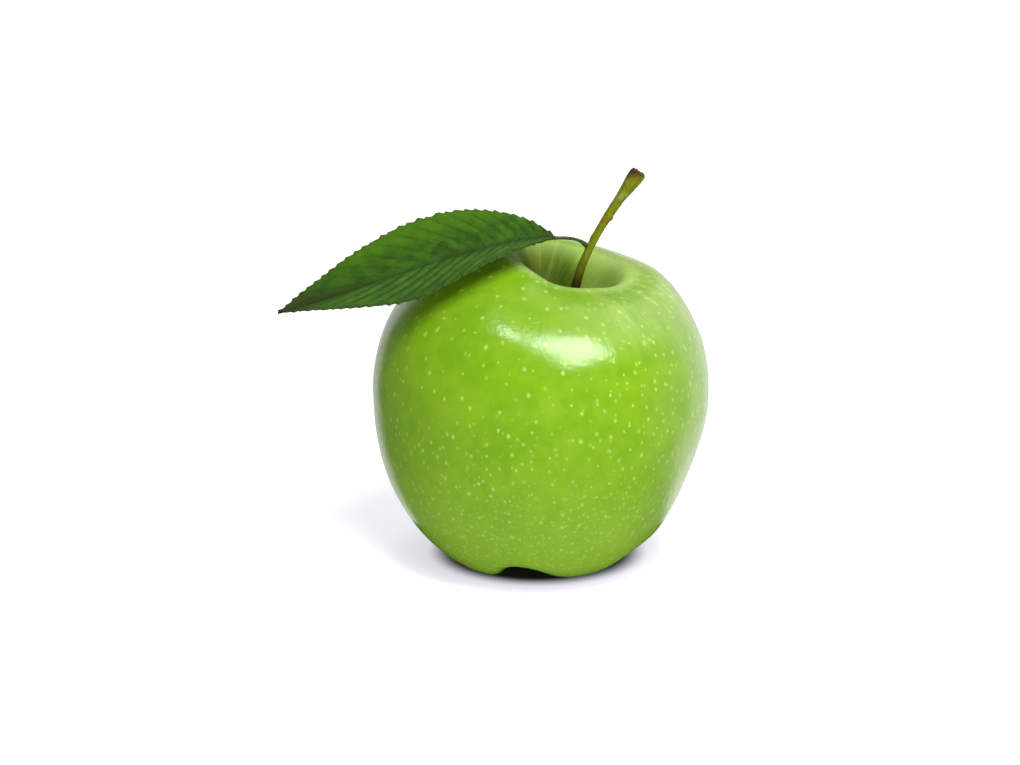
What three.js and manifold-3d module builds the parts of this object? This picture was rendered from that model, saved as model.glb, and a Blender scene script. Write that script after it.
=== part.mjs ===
// A large green apple with its stem, one toothed leaf and the dried calyx underneath, in millimetres.
// +Z is up and -Y faces the viewer. The origin is on the ground, at the middle of the whole outline,
// and the fruit rests on small flats under its five base lobes.
import * as THREE from "three";
import { mergeVertices } from "three/addons/utils/BufferGeometryUtils.js";
import Module from "manifold-3d";

// The fruit. Its axis is upright and meets the ground at FRUIT_X. Each PULL is the length of a
// handle of the outline's curves.
const FRUIT_X = 10.65;
const BELLY_RADIUS = 39.1;
const BELLY_HEIGHT = 40;
const BELLY_PULL_DOWN = 20.5;
const BELLY_PULL_UP = 26;
const BELLY_LEAN = 1;
const CREST_RADIUS = 17.9;
const CREST_PULL_IN = 6;
const CREST_PULL_OUT = 9;
const BASIN_HEIGHT = 8;
const BASIN_PULL = 5;
const BASE_OFFSET_X = -0.9;
const RIM_RADIUS = 12;
const RIM_HEIGHT = 71.6;
const RIM_PULL_IN = 3;
const RIM_PULL_OUT = 6.2;
const RIM_TILT = 4;
const RIM_LOWEST_AT = -23.5;
const RIM_SADDLE = 0.5;
const RIM_WIDENING = 4;
const RIM_WIDEST_AT = 10;
const CAVITY_FLOOR = 57;
const CAVITY_PULL_OUT = 5.1;
const CAVITY_PULL_UP = 0.5;
const TOP_OFFSET = [4.7, -1];
const CAVITY_FLOOR_OFFSET = [2.5, -1];
const GROUND_CUT = 0.35;
const GROUND_SIZE = 100;
const GROUND_DEPTH = 10;
const FRUIT_SIDES = 75;
const BASIN_STEPS = 6;
const UNDERSIDE_STEPS = 9;
const SHOULDER_STEPS = 8;
const CAVITY_STEPS = 8;

// Five lobes stand on the ground, with a groove between each two.
const LOBES = 5;
const FIRST_LOBE_AT = -128.7;
const LOBE_SKEW = 0.76;
const GROOVE_DEPTH = 7.5;
const GROOVE_SHARPNESS = 1.9;
const DEEPEST_GROOVE_AT = -104;
const GROOVE_EVENNESS = 0.6;
const RIB_HEIGHT = 0.012;
const SHOULDER_RIB_HEIGHT = 0.006;
const RIM_DIP = 0.4;

// Radii between which a form fades in, and those between which it fades out again.
const GROOVE_RING = { starts: 2, full: 14, fades: 15, ends: 31 };
const RIM_RING = { starts: 0, full: 15, fades: 22, ends: 38 };
const WIDE_RING = { starts: 2, full: 13, fades: 14, ends: 37 };
const DIP_RING = { starts: 1, full: 11, fades: 17, ends: 33 };
const BASE_CAP = { fades: 16, ends: 34 };
const TOP_CAP = { fades: 16, ends: 37 };
const HOLLOW_CAP = { fades: 0, ends: 13 };
const SHOULDER_FROM = 10;
const SHOULDER_FULL = 18;

// The stem, from its foot in the cavity to its cut end, from the fruit's axis.
const STEM_ROUTE = [
  [7.2, -2, 52.6],
  [5.5, -2, 68.7],
  [13.2, -2, 80],
  [22.1, -2, 92.8],
];
const STEM_SIDES = 16;
const STEM_STEPS = 30;
const STEM_FOOT_RADIUS = 1.5;
const STEM_RADIUS = 1;
const STEM_END_RADIUS = 1.8;
const STEM_END_FLAT = 0.82;
const STEM_FLARE_FROM = 0.8;
const STEM_WAVE = { height: 0.12, turn: 9 };
const BUD_SCAR = { at: 0.735, spread: 0.02, height: 0.42 };
const LEAF_BOSS = { at: 0.575, spread: 0.02, height: 0.4 };
const SOCKET_FLOOR = 52.1;
const SOCKET_RADIUS = 2;
const SOCKET_LENGTH = 20;
const HOLE_SIDES = 20;

// The leaf: a stalk from the stem, a midrib, and a blade folded along it.
const STALK_ROUTE = [
  [9.8, -2.1, 75.6],
  [8.2, -2.3, 77.3],
  [6, -4.4, 78.1],
  [0, -5.3, 77.8],
];
const STALK_RADIUS = 0.42;
const STALK_FOOT_RADIUS = 0.62;
const STALK_SIDES = 8;
const STALK_STEPS = 16;
const MIDRIB_ROUTE = [
  [3.1, -5.3, 78.5],
  [-15, -5.3, 78.3],
  [-43.8, -5.3, 64.4],
  [-60.3, -5.3, 60.5],
];
const BLADE_HALF_WIDTH = 15.2;
const BLADE_THICKNESS = 0.72;
const BLADE_END_HALF_WIDTH = 0.45;
const TOOTHED_FROM_WIDTH = 0.8;
const QUILTED_FROM_WIDTH = 2;
const FAR_HALF_LIFT = 27;
const NEAR_HALF_LIFT = 6;
const NEAR_HALF_DROOP = 15;
const DROOP_AT = 0.53;
const DROOP_SPREAD = 0.27;
const TEETH = 32;
const TOOTH_DEPTH = 0.6;
const TOOTH_LEAN = 0.8;
const VEIN_PAIRS = 16;
const VEIN_SWEEP = 1.9;
const VEIN_CURVE = 1.3;
const WIDEST_SHIFT = 0.85;
const OUTLINE_FULLNESS = 1.04;
const EDGE_TRIM = 0.35;
const QUILT_DEPTH = 0.22;
const MIDRIB_DEPTH = 0.75;
const MIDRIB_WIDTH = 1;
const MIDRIB_TAPER = 0.7;
const ACROSS = [0.05, 0.13, 0.3, 0.5, 0.7, 0.88, 1];

// The calyx: five dried sepals and a tuft of stamens on a short plug in the basin.
const PLUG_RADIUS = 2.2;
const PLUG_LENGTH = 4.2;
const PLUG_STICKS_OUT = 1.4;
const PLUG_HOLE_DEPTH = 3.2;
const PLUG_CLEARANCE = 0.35;
const SEPALS = 5;
const SEPAL_LENGTH = 4.6;
const SEPAL_HALF_WIDTH = 1.35;
const SEPAL_HALF_THICKNESS = 0.34;
const SEPAL_ROOT = -1;
const SEPAL_STEPS = 7;
const SEPAL_SIDES = 8;
const STAMENS = 7;
const STAMEN_LENGTH = 2.6;
const STAMEN_RADIUS = 0.32;
const STAMEN_ROOT = -1.2;
const STAMEN_STEPS = 4;
const STAMEN_SIDES = 6;

const wasm = await Module();
wasm.setup();

const vector = (point) => new THREE.Vector3(...point);
const radians = THREE.MathUtils.degToRad;
const lerp = THREE.MathUtils.lerp;

// 0 at a and 1 at b, eased at both ends, with a above or below b.
function eased(a, b, value) {
  const t = THREE.MathUtils.clamp((value - a) / (b - a), 0, 1);
  return t * t * (3 - 2 * t);
}

// A closed geometry, its shared vertices merged, as a solid that can be cut and joined.
function solid(geometry) {
  geometry.deleteAttribute("normal");
  geometry.deleteAttribute("uv");
  const merged = mergeVertices(geometry, 1e-4);
  return new wasm.Manifold(
    new wasm.Mesh({
      numProp: 3,
      vertProperties: new Float32Array(merged.attributes.position.array),
      triVerts: new Uint32Array(merged.index.array),
    }),
  );
}

function mesh(name, body, material) {
  const { vertProperties, triVerts } = body.getMesh();
  const geometry = new THREE.BufferGeometry();
  geometry.setAttribute("position", new THREE.BufferAttribute(vertProperties, 3));
  geometry.setIndex(new THREE.BufferAttribute(triVerts, 1));
  geometry.computeVertexNormals();
  const made = new THREE.Mesh(geometry, material);
  made.name = name;
  return made;
}

function moveVertices(geometry, rule) {
  const position = geometry.attributes.position;
  const point = new THREE.Vector3();
  for (let i = 0; i < position.count; i++) {
    point.fromBufferAttribute(position, i);
    position.setXYZ(i, ...rule(point));
  }
  return geometry;
}

// A bar turned on a lathe and bent along a curve. radiusAt gives its radius along the way, and
// section may push a point of its round section in or out.
function bentBar(curve, radiusAt, steps, sides, section = () => [1, 1]) {
  const profile = [new THREE.Vector2(0, 0)];
  for (let i = 0; i <= steps; i++) profile.push(new THREE.Vector2(radiusAt(i / steps), i / steps));
  profile.push(new THREE.Vector2(0, 1));
  return moveVertices(new THREE.LatheGeometry(profile, sides), ({ x, y, z }) => {
    const along = curve.getTangentAt(y);
    const across = new THREE.Vector3(0, 1, 0).addScaledVector(along, -along.y).normalize();
    const outwards = new THREE.Vector3().crossVectors(along, across);
    const [wide, deep] = section(y, Math.atan2(z, x));
    return curve
      .getPointAt(y)
      .addScaledVector(outwards, x * wide)
      .addScaledVector(across, z * deep);
  });
}

function route(points) {
  return new THREE.CubicBezierCurve3(...points.map(vector));
}

// The fruit's half outline, from the basin's floor round the belly to the cavity's floor.
function fruitOutline() {
  const spans = [
    {
      steps: BASIN_STEPS,
      from: [0, BASIN_HEIGHT],
      leaving: [BASIN_PULL, BASIN_HEIGHT],
      arriving: [CREST_RADIUS - CREST_PULL_IN, 0],
      to: [CREST_RADIUS, 0],
    },
    {
      steps: UNDERSIDE_STEPS,
      from: [CREST_RADIUS, 0],
      leaving: [CREST_RADIUS + CREST_PULL_OUT, 0],
      arriving: [BELLY_RADIUS, BELLY_HEIGHT - BELLY_PULL_DOWN],
      to: [BELLY_RADIUS, BELLY_HEIGHT],
    },
    {
      steps: SHOULDER_STEPS,
      from: [BELLY_RADIUS, BELLY_HEIGHT],
      leaving: [BELLY_RADIUS, BELLY_HEIGHT + BELLY_PULL_UP],
      arriving: [RIM_RADIUS + RIM_PULL_OUT, RIM_HEIGHT],
      to: [RIM_RADIUS, RIM_HEIGHT],
    },
    {
      steps: CAVITY_STEPS,
      from: [RIM_RADIUS, RIM_HEIGHT],
      leaving: [RIM_RADIUS - RIM_PULL_IN, RIM_HEIGHT],
      arriving: [CAVITY_PULL_OUT, CAVITY_FLOOR + CAVITY_PULL_UP],
      to: [0, CAVITY_FLOOR],
    },
  ];
  return spans.flatMap(({ steps, from, leaving, arriving, to }, i) => {
    const handles = [from, leaving, arriving, to].map((point) => new THREE.Vector2(...point));
    return new THREE.CubicBezierCurve(...handles).getPoints(steps).slice(i ? 1 : 0);
  });
}

// 1 inside a cap's or ring's full radii, eased to 0 at its ends.
function cap({ fades, ends }, radius) {
  return eased(ends, fades, radius);
}

function ring({ starts, full, fades, ends }, radius) {
  return eased(starts, full, radius) * eased(ends, fades, radius);
}

// Where the fruit's skin lies at a radius and height of its outline and an angle round its axis:
// five lobes with grooves below, faint ribs, a tilted and slightly saddle-shaped rim that is wider on
// the right, and both ends pushed off the axis.
function skinPoint(radius, height, angle) {
  const wave = LOBES * (angle - radians(FIRST_LOBE_AT));
  const lobe = Math.cos(wave + LOBE_SKEW * Math.sin(wave / 2) ** 2);
  const unevenness = lerp(Math.cos(angle - radians(DEEPEST_GROOVE_AT)), 1, GROOVE_EVENNESS);
  const groove = GROOVE_DEPTH * unevenness * ((1 - lobe) / 2) ** GROOVE_SHARPNESS;
  const lower = height < BELLY_HEIGHT ? 1 : 0;
  const upper = 1 - lower;
  const belt = lower * Math.sin(Math.PI * THREE.MathUtils.clamp(height / BELLY_HEIGHT, 0, 1)) ** 2;
  const base = lower * cap(BASE_CAP, radius);
  const top = upper * cap(TOP_CAP, radius);
  const hollow = upper * cap(HOLLOW_CAP, radius);
  const shoulder =
    upper * eased(BELLY_HEIGHT, RIM_HEIGHT, height) * eased(SHOULDER_FROM, SHOULDER_FULL, radius);
  const ribbed = radius * (1 + lobe * (RIB_HEIGHT * belt + SHOULDER_RIB_HEIGHT * shoulder));
  const widest = Math.max(0, Math.cos(angle - radians(RIM_WIDEST_AT))) ** 2;
  const out = ribbed + upper * RIM_WIDENING * widest * ring(WIDE_RING, radius);
  const tilt = RIM_SADDLE * Math.cos(2 * angle) - RIM_TILT * Math.cos(angle - radians(RIM_LOWEST_AT));
  const dip = (RIM_DIP * (1 - lobe)) / 2;
  const [topX, topY] = TOP_OFFSET;
  const [floorX, floorY] = CAVITY_FLOOR_OFFSET;
  const pushX = BASE_OFFSET_X * base + topX * top + floorX * hollow - BELLY_LEAN * belt;
  const pushY = topY * top + floorY * hollow;
  const lift =
    lower * groove * ring(GROOVE_RING, radius) +
    upper * (tilt * ring(RIM_RING, radius) - dip * ring(DIP_RING, radius));
  return new THREE.Vector3(
    out * Math.cos(angle) + pushX,
    out * Math.sin(angle) + pushY,
    height - GROUND_CUT + lift,
  );
}

// A plain round hole for a foot, standing on its floor at the point given.
function hole(radius, length, floor) {
  const drill = new THREE.CylinderGeometry(radius, radius, length, HOLE_SIDES).rotateX(Math.PI / 2);
  return solid(drill).translate([floor.x, floor.y, floor.z + length / 2]);
}

const basinFloor = skinPoint(0, BASIN_HEIGHT, 0);
const stemCurve = route(STEM_ROUTE);
const stemFoot = stemCurve.getPoint(0);

function makeFruit() {
  const turned = new THREE.LatheGeometry(fruitOutline(), FRUIT_SIDES).rotateX(Math.PI / 2);
  moveVertices(turned, ({ x, y, z }) => skinPoint(Math.hypot(x, y), z, Math.atan2(y, x)));
  const block = new THREE.BoxGeometry(GROUND_SIZE, GROUND_SIZE, GROUND_DEPTH);
  const ground = solid(block).translate([0, 0, -GROUND_DEPTH / 2]);
  const socketFloor = new THREE.Vector3(stemFoot.x, stemFoot.y, SOCKET_FLOOR);
  const socket = hole(SOCKET_RADIUS, SOCKET_LENGTH, socketFloor);
  const plugHole = hole(
    PLUG_RADIUS + PLUG_CLEARANCE,
    PLUG_HOLE_DEPTH + BASIN_HEIGHT,
    new THREE.Vector3(basinFloor.x, basinFloor.y, basinFloor.z - BASIN_HEIGHT),
  );
  return solid(turned).subtract(ground).subtract(socket).subtract(plugHole);
}

// The stem: a thicker foot, a slim shank with a bud scar and a boss where the leaf joins, and a
// flared cut end that is wider across the view than along it.
function stemRadius(along) {
  const foot = STEM_FOOT_RADIUS * eased(0.3, 0.05, along);
  const flare = (STEM_END_RADIUS - STEM_RADIUS) * eased(STEM_FLARE_FROM, 0.985, along);
  const wave = STEM_WAVE.height * Math.sin(STEM_WAVE.turn * along);
  const rounding = along > 0.99 ? 0.9 : 1;
  return Math.max(foot, STEM_RADIUS + wave + flare) * rounding;
}

// A low swelling on one side of the stem; facing is 1 on that side and -1 on the other.
function swelling({ at, spread, height }, along, facing) {
  return height * Math.exp(-(((along - at) / spread) ** 2)) * Math.max(0, facing) ** 3;
}

function stemSection(along, angle) {
  const leftwards = Math.cos(angle);
  const swollen = 1 + swelling(BUD_SCAR, along, -leftwards) + swelling(LEAF_BOSS, along, leftwards);
  return [swollen, lerp(1, STEM_END_FLAT, eased(STEM_FLARE_FROM, 1, along))];
}

function makeStem() {
  return solid(bentBar(stemCurve, stemRadius, STEM_STEPS, STEM_SIDES, stemSection));
}

// The leaf's blade. margin is the way along its edge, 0 at the base and 1 at the tip; the side veins
// sweep forwards, so a row of the blade starts further back on the midrib than it ends on the edge.
const midrib = route(MIDRIB_ROUTE);

function bladeHalfWidth(margin) {
  return BLADE_HALF_WIDTH * Math.max(0, Math.sin(Math.PI * margin ** WIDEST_SHIFT)) ** OUTLINE_FULLNESS;
}

function toothAt(margin) {
  const phase = (margin * TEETH) % 1;
  return TOOTH_DEPTH * (phase < TOOTH_LEAN ? phase / TOOTH_LEAN : (1 - phase) / (1 - TOOTH_LEAN));
}

// A point of the blade's upper face and the point under it. across runs from -1, the far edge, to 1.
function bladePoints(margin, across) {
  const side = Math.sign(across);
  const out = Math.abs(across);
  const root = 1 - (1 - margin) ** (1 / VEIN_SWEEP);
  const along = root + (margin - root) * out ** VEIN_CURVE;
  const tooth = bladeHalfWidth(margin) > TOOTHED_FROM_WIDTH ? toothAt(margin) * out ** 6 : 0;
  const width = out * Math.max(bladeHalfWidth(margin) + tooth - EDGE_TRIM, BLADE_END_HALF_WIDTH);
  const centre = midrib.getPoint(along);
  const forwards = midrib.getTangent(along);
  const sideways = new THREE.Vector3(0, 0, 1).cross(forwards).normalize();
  const upwards = new THREE.Vector3().crossVectors(forwards, sideways);
  const droop = NEAR_HALF_DROOP * Math.exp(-(((along - DROOP_AT) / DROOP_SPREAD) ** 2));
  const lift = side === 0 ? 0 : radians(side < 0 ? FAR_HALF_LIFT : NEAR_HALF_LIFT - droop);
  const outwards = sideways
    .clone()
    .multiplyScalar(side * Math.cos(lift))
    .addScaledVector(upwards, Math.sin(lift));
  const normal = upwards
    .clone()
    .multiplyScalar(Math.cos(lift))
    .addScaledVector(sideways, -side * Math.sin(lift));
  const quilted = width > QUILTED_FROM_WIDTH ? QUILT_DEPTH * Math.sin(Math.PI * Math.min(out, 0.95)) : 0;
  const quilt = -quilted * Math.cos(2 * Math.PI * VEIN_PAIRS * margin);
  const top = centre.addScaledVector(outwards, width).addScaledVector(normal, quilt);
  const rib = MIDRIB_DEPTH * Math.exp(-((width / MIDRIB_WIDTH) ** 2)) * (1 - MIDRIB_TAPER * margin);
  const under = top.clone().addScaledVector(normal, -(BLADE_THICKNESS + rib));
  return [top, under];
}

// A thin closed sheet from a grid of upper and under points, split alike on both faces.
function sheet(rows, columns, pointsAt) {
  const corners = [];
  for (const row of rows) for (const column of columns) corners.push(...pointsAt(row, column));
  const wide = columns.length;
  const deep = rows.length;
  const at = (i, j, face) => 2 * (i * wide + j) + face;
  const triangles = [];
  const quad = (a, b, c, d) => triangles.push(a, b, c, a, c, d);
  for (let i = 0; i < deep - 1; i++) {
    for (let j = 0; j < wide - 1; j++) {
      quad(at(i, j, 0), at(i + 1, j, 0), at(i + 1, j + 1, 0), at(i, j + 1, 0));
      triangles.push(at(i, j, 1), at(i + 1, j + 1, 1), at(i + 1, j, 1));
      triangles.push(at(i, j, 1), at(i, j + 1, 1), at(i + 1, j + 1, 1));
    }
    quad(at(i, 0, 1), at(i + 1, 0, 1), at(i + 1, 0, 0), at(i, 0, 0));
    quad(at(i, wide - 1, 0), at(i + 1, wide - 1, 0), at(i + 1, wide - 1, 1), at(i, wide - 1, 1));
  }
  for (let j = 0; j < wide - 1; j++) {
    quad(at(0, j, 0), at(0, j + 1, 0), at(0, j + 1, 1), at(0, j, 1));
    quad(at(deep - 1, j + 1, 0), at(deep - 1, j, 0), at(deep - 1, j, 1), at(deep - 1, j + 1, 1));
  }
  const geometry = new THREE.BufferGeometry();
  const places = corners.flatMap((corner) => corner.toArray());
  geometry.setAttribute("position", new THREE.Float32BufferAttribute(places, 3));
  geometry.setIndex(triangles);
  return geometry;
}

function makeLeaf() {
  const rows = [];
  for (let i = 0; i < TEETH; i++) rows.push(i / TEETH, (i + TOOTH_LEAN) / TEETH);
  rows.push(1);
  const columns = [...ACROSS.map((out) => -out).reverse(), 0, ...ACROSS];
  const blade = solid(sheet(rows, columns, bladePoints));
  const stalkRadius = (along) => lerp(STALK_RADIUS, STALK_FOOT_RADIUS, eased(0.2, 0, along));
  const stalk = solid(bentBar(route(STALK_ROUTE), stalkRadius, STALK_STEPS, STALK_SIDES));
  return blade.add(stalk);
}

// One dried sepal: a flat pointed tongue that curls out and back in as it hangs from the plug.
function makeSepal(turn) {
  const curve = route([
    [0.9, 0, 0.3],
    [2.6, 0, -0.6],
    [2.9, 0, -2.4],
    [0.9 + 0.3 * Math.cos(3 * turn), 0, -SEPAL_LENGTH],
  ]);
  const radiusAt = (along) => Math.max(Math.sin(Math.PI * (0.25 + 0.72 * along)) ** 0.8, 0.25);
  const flat = () => [SEPAL_HALF_THICKNESS, SEPAL_HALF_WIDTH];
  const bar = bentBar(curve, radiusAt, SEPAL_STEPS, SEPAL_SIDES, flat);
  return solid(bar).rotate([0, 0, THREE.MathUtils.radToDeg(turn)]);
}

function makeStamen(turn) {
  const curve = route([
    [0.4, 0, 0.3],
    [0.8, 0, -0.6],
    [1.1, 0, -1.6],
    [0.8 + 0.4 * Math.sin(2 * turn), 0, -STAMEN_LENGTH],
  ]);
  const radiusAt = (along) => STAMEN_RADIUS * (1 + 0.35 * eased(0.8, 1, along));
  const bar = bentBar(curve, radiusAt, STAMEN_STEPS, STAMEN_SIDES);
  return solid(bar).rotate([0, 0, THREE.MathUtils.radToDeg(turn)]);
}

function makeCalyx() {
  const plug = new THREE.CylinderGeometry(PLUG_RADIUS, PLUG_RADIUS, PLUG_LENGTH, HOLE_SIDES);
  let calyx = solid(plug.rotateX(Math.PI / 2)).translate([0, 0, PLUG_LENGTH / 2 - PLUG_STICKS_OUT]);
  for (let i = 0; i < SEPALS; i++) {
    const turn = (2 * Math.PI * (i + 0.3)) / SEPALS;
    calyx = calyx.add(makeSepal(turn).translate([0, 0, SEPAL_ROOT]));
  }
  for (let i = 0; i < STAMENS; i++) {
    const turn = (2 * Math.PI * i) / STAMENS;
    calyx = calyx.add(makeStamen(turn).translate([0, 0, STAMEN_ROOT]));
  }
  return calyx.translate([basinFloor.x, basinFloor.y, basinFloor.z]);
}

const skinGreen = new THREE.MeshStandardMaterial({ color: 0x92c62e, roughness: 0.28, metalness: 0 });
const stemOlive = new THREE.MeshStandardMaterial({ color: 0x6d6e22, roughness: 0.6, metalness: 0 });
const leafGreen = new THREE.MeshStandardMaterial({ color: 0x42702a, roughness: 0.5, metalness: 0 });
const driedBrown = new THREE.MeshStandardMaterial({ color: 0x4d3c22, roughness: 0.9, metalness: 0 });

const group = new THREE.Group();
group.add(mesh("apple", makeFruit(), skinGreen));
group.add(mesh("stem", makeStem(), stemOlive));
group.add(mesh("leaf", makeLeaf(), leafGreen));
group.add(mesh("calyx", makeCalyx(), driedBrown));
group.children.forEach((piece) => piece.position.setX(FRUIT_X));

export default group;
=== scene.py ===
"""A large green apple with its stem, one toothed leaf and the dried calyx underneath.

Routes and sizes named here are in millimetres from the fruit's own upright axis, +Z up and -Y towards
the viewer, and a finished mesh is in metres in the part's frame.
"""

import math

import bpy
from bpy.props import FloatProperty, FloatVectorProperty, PointerProperty
from mathutils import Matrix, Vector, noise


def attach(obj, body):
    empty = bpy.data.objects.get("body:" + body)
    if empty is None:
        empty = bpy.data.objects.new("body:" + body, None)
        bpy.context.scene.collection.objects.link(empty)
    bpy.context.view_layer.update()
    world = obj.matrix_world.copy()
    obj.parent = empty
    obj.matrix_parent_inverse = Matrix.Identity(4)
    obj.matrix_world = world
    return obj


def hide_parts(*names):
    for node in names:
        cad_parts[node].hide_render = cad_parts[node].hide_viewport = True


bl_info = {
    "name": "Green apple",
    "version": (1, 0, 0),
    "blender": (4, 5, 0),
    "location": "View3D > Sidebar > Apple",
    "description": "Adds the skin, stem, leaf and calyx of a green apple around its plain solids",
    "category": "Add Mesh",
}

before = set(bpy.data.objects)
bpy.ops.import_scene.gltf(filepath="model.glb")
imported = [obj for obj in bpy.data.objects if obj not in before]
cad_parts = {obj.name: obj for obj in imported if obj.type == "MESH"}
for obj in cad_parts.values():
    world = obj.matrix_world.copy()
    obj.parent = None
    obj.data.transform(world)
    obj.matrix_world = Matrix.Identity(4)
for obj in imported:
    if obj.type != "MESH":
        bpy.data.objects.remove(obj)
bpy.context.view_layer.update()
MM = 0.001
FRUIT_X = 10.65

# The fruit's half outline as a Bezier curve, from the basin up: each point between its two handles.
BELLY_RADIUS = 39.1
BELLY_HEIGHT = 40.0
RIM_HEIGHT = 71.6
BASIN_HEIGHT = 8.0
FRUIT_OUTLINE = (
    ((-5.0, BASIN_HEIGHT), (0.0, BASIN_HEIGHT), (5.0, BASIN_HEIGHT)),
    ((11.9, 0.0), (17.9, 0.0), (26.9, 0.0)),
    ((BELLY_RADIUS, 19.5), (BELLY_RADIUS, BELLY_HEIGHT), (BELLY_RADIUS, 66.0)),
    ((18.2, RIM_HEIGHT), (12.0, RIM_HEIGHT), (9.0, RIM_HEIGHT)),
    ((5.1, 57.5), (0.0, 57.0), (-5.1, 56.5)),
)
OUTLINE_STEPS = 34
ROUTE_STEPS = 240
FRUIT_SIDES = 300

LOBES = 5
FIRST_LOBE_AT = math.radians(-128.7)
LOBE_SKEW = 0.76
GROOVE_DEPTH = 7.5
GROOVE_SHARPNESS = 1.9
DEEPEST_GROOVE_AT = math.radians(-104.0)
GROOVE_EVENNESS = 0.6
RIB_HEIGHT = 0.012
SHOULDER_RIB_HEIGHT = 0.006
RIM_TILT = 4.0
RIM_LOWEST_AT = math.radians(-23.5)
RIM_SADDLE = 0.5
RIM_WIDENING = 4.0
RIM_WIDEST_AT = math.radians(10.0)
RIM_DIP = 0.4
BASE_OFFSET_X = -0.9
BELLY_LEAN = 1.0
TOP_OFFSET = (4.7, -1.0)
CAVITY_FLOOR_OFFSET = (2.5, -1.0)
GROUND_CUT = 0.35
CALYX_TUBE_RADIUS = 2.2
CALYX_TUBE_DEPTH = 3.4
HOLLOW_STARTS = 0.3
SKIN_WAVE_HEIGHT = 0.09
SKIN_WAVE_LENGTH = 8.0
STREAKS_ROUND = 16.0

STEM_ROUTE = ((7.2, -2.0, 52.6), (5.5, -2.0, 68.7), (13.2, -2.0, 80.0), (22.1, -2.0, 92.8))
STEM_STEPS = 220
STEM_SIDES = 48
STEM_FOOT_RADIUS = 1.5
STEM_RADIUS = 1.0
STEM_END_RADIUS = 1.8
STEM_END_FLAT = 0.82
STEM_RISE = 41.0
CUT_END_FROM = 90.6
CUT_END_TO = 93.2
BUD_SCAR_AT = 0.71
LEAF_BOSS_AT = 0.575
SCAR_COLOUR_AT = 0.705
PALE_PATCH_AT = 0.83

STALK_ROUTE = ((10.3, -2.1, 75.3), (8.5, -2.3, 77.3), (6.0, -4.4, 78.1), (0.0, -5.3, 77.9))
STALK_STEPS = 60
STALK_SIDES = 20
STALK_RADIUS = 0.36
STALK_FOOT_RADIUS = 0.6

MIDRIB_ROUTE = ((3.1, -5.3, 78.5), (-15.0, -5.3, 78.3), (-43.8, -5.3, 64.4), (-60.3, -5.3, 60.5))
BLADE_LENGTH = 68.0
BLADE_HALF_WIDTH = 15.2
FAR_HALF_LIFT = math.radians(27.0)
NEAR_HALF_LIFT = math.radians(6.0)
NEAR_HALF_DROOP = math.radians(15.0)
DROOP_AT = 0.53
DROOP_SPREAD = 0.27
TEETH = 32
TOOTH_DEPTH = 0.75
TOOTH_LEAN = 0.8
STEPS_PER_TOOTH = 10
STEPS_ACROSS = 68
VEIN_PAIRS = 16
VEIN_SWEEP = 1.9
VEIN_CURVE = 1.3
WIDEST_SHIFT = 0.85
OUTLINE_FULLNESS = 1.04
EDGE_TRIM = 0.35
QUILT_DEPTH = 0.22

CALYX_DROP = 0.6
SEPALS = 5
SEPAL_LENGTH = 4.6
SEPAL_STEPS = 26
SEPAL_SIDES = 18
STAMENS = 16
STAMEN_RADIUS = 0.1
STAMEN_STEPS = 14
STAMEN_SIDES = 8

# The camera's aim is in the part's own frame.
CAMERA_AIM = (3.48, 0.0, 41.32)
CAMERA_ELEVATION = math.radians(20.0)
CAMERA_DISTANCE = 660.0
CAMERA_LENS = 100.0
CAMERA_SENSOR = 36.0

LIGHT_DISTANCE = 900.0
LIGHT_COLOUR = (1.0, 0.99, 0.97)
FLOOR_RADIUS = 3000.0
# Places and sizes of the floor's painted shadows.
SHADOW_CENTRE = (-0.8, -2.8, 0.0)
SHADOW_NARROWING = (0.8, 1.0, 1.0)
SHADOW_DARK_TO = 16.0
SHADOW_ENDS = 21.5
PALE_SHADOW_ENDS = 30.0
# The dark disc whose painted reflection the fruit's base shows.
REFLECTED_SHADOW_RADIUS = 35.0


def eased(start, end, value):
    """0 at start and 1 at end, eased at both, with start above or below end."""
    share = min(max((value - start) / (end - start), 0.0), 1.0)
    return share * share * (3.0 - 2.0 * share)


def lerp(low, high, share):
    return low + (high - low) * share


def bell(value, centre, spread):
    return math.exp(-(((value - centre) / spread) ** 2))


def roughly(point, length):
    """Smooth noise between about -1 and 1 whose bumps are as long as length."""
    return noise.noise(Vector(point) / length)


class Route:
    """A cubic curve through space, which can also be walked at an even pace."""

    def __init__(self, points):
        self.points = [Vector(point) for point in points]
        self.walked = [0.0]
        last = self.point(0.0)
        for i in range(ROUTE_STEPS):
            here = self.point((i + 1) / ROUTE_STEPS)
            self.walked.append(self.walked[-1] + (here - last).length)
            last = here

    def point(self, share):
        start, leaving, arriving, end = self.points
        back = 1.0 - share
        return (
            start * back**3
            + leaving * 3 * back**2 * share
            + arriving * 3 * back * share**2
            + end * share**3
        )

    def heading(self, share):
        start, leaving, arriving, end = self.points
        back = 1.0 - share
        way = (leaving - start) * back**2 + (arriving - leaving) * 2 * back * share
        return (way + (end - arriving) * share**2).normalized()

    def paced(self, share):
        """The curve's own share at an even share of its length."""
        target = min(max(share, 0.0), 1.0) * self.walked[-1]
        i = next(k for k in range(1, ROUTE_STEPS + 1) if self.walked[k] >= target - 1e-9)
        span = self.walked[i] - self.walked[i - 1]
        return (i - 1 + (target - self.walked[i - 1]) / span) / ROUTE_STEPS


def deselect_all():
    if bpy.context.mode != "OBJECT":
        bpy.ops.object.mode_set(mode="OBJECT")
    bpy.ops.object.select_all(action="DESELECT")


def edit_closed(piece, merge):
    """Merges doubles no further apart than merge and turns every face outwards."""
    bpy.ops.object.mode_set(mode="EDIT")
    bpy.ops.mesh.select_all(action="SELECT")
    bpy.ops.mesh.remove_doubles(threshold=merge)
    bpy.ops.mesh.normals_make_consistent(inside=False)
    bpy.ops.object.mode_set(mode="OBJECT")
    return piece


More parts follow.
